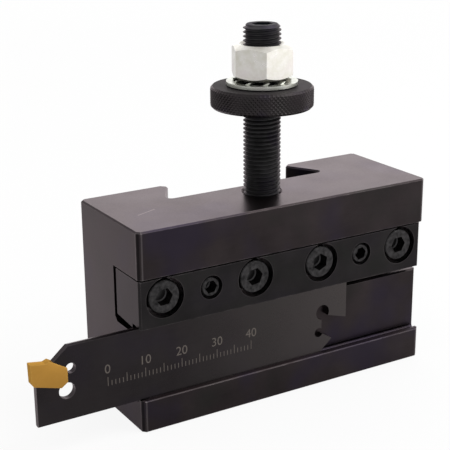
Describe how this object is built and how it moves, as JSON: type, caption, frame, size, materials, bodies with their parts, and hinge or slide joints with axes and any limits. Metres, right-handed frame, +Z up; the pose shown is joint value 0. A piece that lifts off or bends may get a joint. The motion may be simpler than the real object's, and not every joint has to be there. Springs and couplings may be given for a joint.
{
  "type": "quick change tool holder",
  "caption": "Lathe tool holder block with a dovetail back, a parting blade with a gold insert under a clamp bar, and a height stud with a knurled nut and a lock nut.",
  "frame": {"origin": "centre of the block's flat base", "axes": "+X along the block, away from the cutting end; +Y from the blade side to the dovetail side; +Z up along the height stud"},
  "size_m": [0.1135, 0.032, 0.0943],
  "materials": {
    "blackened_block": "satin black oxide",
    "blackened_bar": "satin black oxide",
    "blackened_screw": "black oxide",
    "blackened_stud": "black oxide",
    "blackened_nut": "black oxide",
    "blackened_blade": "ground black oxide",
    "zinc_plate": "bright zinc plate",
    "gold_coating": "titanium nitride coating"
  },
  "bodies": {
    "holder": {"holder_body": "blackened_block", "height_stud": "blackened_stud"},
    "clamp": {"clamp_bar": "blackened_bar"},
    "screw_1": {"clamp_screw_1": "blackened_screw"},
    "screw_2": {"clamp_screw_2": "blackened_screw"},
    "screw_3": {"clamp_screw_3": "blackened_screw"},
    "screw_4": {"clamp_screw_4": "blackened_screw"},
    "jack_1": {"jack_screw_1": "blackened_screw"},
    "jack_2": {"jack_screw_2": "blackened_screw"},
    "blade": {"parting_blade": "blackened_blade", "cutting_insert": "gold_coating"},
    "washer": {"lock_washer": "zinc_plate"},
    "nut": {"knurled_nut": "blackened_nut"},
    "locknut": {"lock_nut": "zinc_plate"}
  },
  "joints": [
    {"name": "clamp_slide", "type": "slide", "parent": "holder", "child": "clamp", "axis": [0, -1, 0], "range_m": [0, 0.0012]},
    {"name": "clamp_screw_turn_1", "type": "hinge", "parent": "clamp", "child": "screw_1", "pos_m": [-0.036, -0.016, 0.034], "axis": [0, -1, 0], "range_deg": [0, 540]},
    {"name": "clamp_screw_turn_2", "type": "hinge", "parent": "clamp", "child": "screw_2", "pos_m": [-0.01045, -0.016, 0.034], "axis": [0, -1, 0], "range_deg": [0, 540]},
    {"name": "clamp_screw_turn_3", "type": "hinge", "parent": "clamp", "child": "screw_3", "pos_m": [0.00945, -0.016, 0.034], "axis": [0, -1, 0], "range_deg": [0, 540]},
    {"name": "clamp_screw_turn_4", "type": "hinge", "parent": "clamp", "child": "screw_4", "pos_m": [0.035, -0.016, 0.034], "axis": [0, -1, 0], "range_deg": [0, 540]},
    {"name": "jack_screw_turn_1", "type": "hinge", "parent": "clamp", "child": "jack_1", "pos_m": [-0.02325, -0.016, 0.034], "axis": [0, -1, 0], "range_deg": [0, 720]},
    {"name": "jack_screw_turn_2", "type": "hinge", "parent": "clamp", "child": "jack_2", "pos_m": [0.02225, -0.016, 0.034], "axis": [0, -1, 0], "range_deg": [0, 720]},
    {"name": "blade_slide", "type": "slide", "parent": "holder", "child": "blade", "axis": [1, 0, 0], "range_m": [-0.02, 0.015]},
    {"name": "washer_rise", "type": "slide", "parent": "holder", "child": "washer", "axis": [0, 0, 1], "range_m": [-0.02117, 0.00424]},
    {"name": "height_nut_turn", "type": "hinge", "parent": "washer", "child": "nut", "pos_m": [0, -0.0022, 0.076], "axis": [0, 0, 1], "range_deg": [-7200, 1440]},
    {"name": "lock_nut_turn", "type": "hinge", "parent": "washer", "child": "locknut", "pos_m": [0, -0.0022, 0.085], "axis": [0, 0, 1], "range_deg": [-7200, 1440]}
  ],
  "couplings": [
    {"joint": "clamp_screw_turn_1", "follows": "clamp_slide", "rad_per_m": 7854},
    {"joint": "clamp_screw_turn_2", "follows": "clamp_slide", "rad_per_m": 7854},
    {"joint": "clamp_screw_turn_3", "follows": "clamp_slide", "rad_per_m": 7854},
    {"joint": "clamp_screw_turn_4", "follows": "clamp_slide", "rad_per_m": 7854},
    {"joint": "washer_rise", "follows": "height_nut_turn", "m_per_rad": 0.00016844},
    {"joint": "lock_nut_turn", "follows": "height_nut_turn", "ratio": 1}
  ]
}
